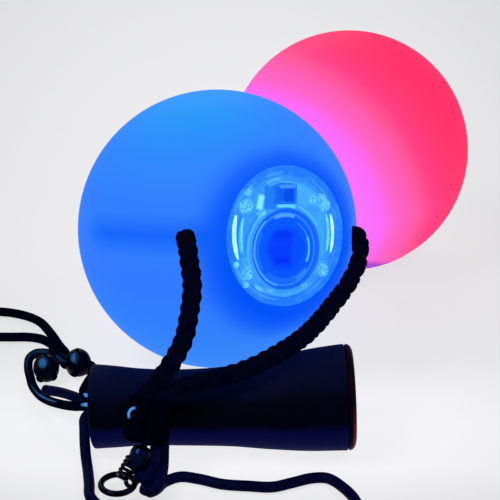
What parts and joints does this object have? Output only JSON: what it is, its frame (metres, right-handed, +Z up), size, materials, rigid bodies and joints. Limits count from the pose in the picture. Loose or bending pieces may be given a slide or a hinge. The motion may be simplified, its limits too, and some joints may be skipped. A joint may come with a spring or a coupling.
{
  "type": "pair of light-up poi",
  "caption": "Pair of light-up poi: hollow soft balls with plug-in lamp capsules, braided bridles, barrel swivels, thin leashes and flared hand grips with finger loops.",
  "frame": {"origin": "on the table, under the middle of the box around the two poi without their cords", "axes": "+Z up, +X to the right and +Y away from the blue poi's grip towards the red poi; the grips lie along X"},
  "size_m": [0.1679, 0.3217, 0.08],
  "materials": {
    "blue_ball": "soft translucent elastomer, satin, lit from inside",
    "red_ball": "soft translucent elastomer, satin, lit from inside",
    "clear_plastic": "clear moulded plastic",
    "seal_rubber": "matt",
    "bright_steel": "bright plated",
    "contact_brass": "plated",
    "board": "solder-masked laminate",
    "led_lens": "clear epoxy",
    "black_plastic": "gloss",
    "button_plastic": "satin",
    "bridle_braid": "braided synthetic cord",
    "leash_cord": "smooth round cord",
    "loop_cord": "smooth waxed round cord, slightly glossy",
    "black_metal": "black nickel, glossy",
    "grip_rubber": "satin",
    "grip_plastic": "satin"
  },
  "bodies": {
    "root": {"blue_ball_shell": "blue_ball", "blue_bridle_cord": "bridle_braid", "blue_bridle_ferrule": "black_metal", "blue_swivel_shank": "bright_steel", "blue_swivel_eye": "bright_steel", "blue_leash_ring": "black_metal", "blue_leash_knot": "leash_cord", "blue_leash_cord": "leash_cord", "blue_leash_coil": "leash_cord", "blue_grip_sleeve": "grip_rubber", "blue_grip_core": "grip_plastic", "blue_grip_cap": "grip_plastic", "blue_neck_loop": "loop_cord", "blue_finger_loop": "loop_cord", "blue_finger_hitch": "loop_cord"},
    "red_poi": {"red_ball_shell": "red_ball", "red_bridle_cord": "bridle_braid", "red_bridle_ferrule": "black_metal", "red_swivel_shank": "bright_steel", "red_swivel_eye": "bright_steel", "red_leash_ring": "black_metal", "red_leash_knot": "leash_cord", "red_leash_cord": "leash_cord", "red_leash_coil": "leash_cord", "red_grip_sleeve": "grip_rubber", "red_grip_core": "grip_plastic", "red_grip_cap": "grip_plastic", "red_neck_loop": "loop_cord", "red_finger_loop": "loop_cord", "red_finger_hitch": "loop_cord"},
    "blue_lamp": {"blue_lamp_cup": "clear_plastic", "blue_lamp_face": "clear_plastic", "blue_flange_gasket": "seal_rubber", "blue_face_screws": "bright_steel", "blue_door_seal": "seal_rubber", "blue_battery_tray": "clear_plastic", "blue_coin_cells": "bright_steel", "blue_battery_contacts": "contact_brass", "blue_circuit_board": "board", "blue_leds": "led_lens", "blue_tact_switch": "black_plastic"},
    "blue_door": {"blue_battery_door": "clear_plastic"},
    "blue_button": {"blue_mode_button": "button_plastic"},
    "blue_swivel": {"blue_swivel_barrel": "bright_steel"},
    "red_lamp": {"red_lamp_cup": "clear_plastic", "red_lamp_face": "clear_plastic", "red_flange_gasket": "seal_rubber", "red_face_screws": "bright_steel", "red_door_seal": "seal_rubber", "red_battery_tray": "clear_plastic", "red_coin_cells": "bright_steel", "red_battery_contacts": "contact_brass", "red_circuit_board": "board", "red_leds": "led_lens", "red_tact_switch": "black_plastic"},
    "red_door": {"red_battery_door": "clear_plastic"},
    "red_button": {"red_mode_button": "button_plastic"},
    "red_swivel": {"red_swivel_barrel": "bright_steel"}
  },
  "joints": [
    {"name": "red_poi_lift", "type": "slide", "parent": "root", "child": "red_poi", "axis": [0, 0, 1], "range_m": [0, 0.1]},
    {"name": "blue_lamp_pull", "type": "slide", "parent": "root", "child": "blue_lamp", "axis": [0.5514, -0.782, 0.2907], "range_m": [0, 0.018]},
    {"name": "blue_door_turn", "type": "hinge", "parent": "blue_lamp", "child": "blue_door", "pos_m": [-0.0008, -0.0847, 0.04668], "axis": [0.5514, -0.782, 0.2907], "range_deg": [0, 40]},
    {"name": "blue_button_press", "type": "slide", "parent": "blue_lamp", "child": "blue_button", "axis": [-0.5514, 0.782, -0.2907], "range_m": [0, 0.0008], "stiffness_N_per_m": 1200},
    {"name": "blue_swivel_turn", "type": "hinge", "parent": "root", "child": "blue_swivel", "pos_m": [-0.03805, -0.12541, 0.00761], "axis": [-0.3198, -0.4197, -0.8494], "continuous": true},
    {"name": "red_lamp_pull", "type": "slide", "parent": "red_poi", "child": "red_lamp", "axis": [0.1903, 0, -0.9817], "range_m": [0, 0.018]},
    {"name": "red_door_turn", "type": "hinge", "parent": "red_lamp", "child": "red_door", "pos_m": [0.03209, 0.01017, 0.00516], "axis": [0.1903, 0, -0.9817], "range_deg": [0, 40]},
    {"name": "red_button_press", "type": "slide", "parent": "red_lamp", "child": "red_button", "axis": [-0.1903, 0, 0.9817], "range_m": [0, 0.0008], "stiffness_N_per_m": 1200},
    {"name": "red_swivel_turn", "type": "hinge", "parent": "red_poi", "child": "red_swivel", "pos_m": [-0.01453, 0.07577, 0.0032], "axis": [-0.5026, 0.8645, 0], "continuous": true}
  ]
}
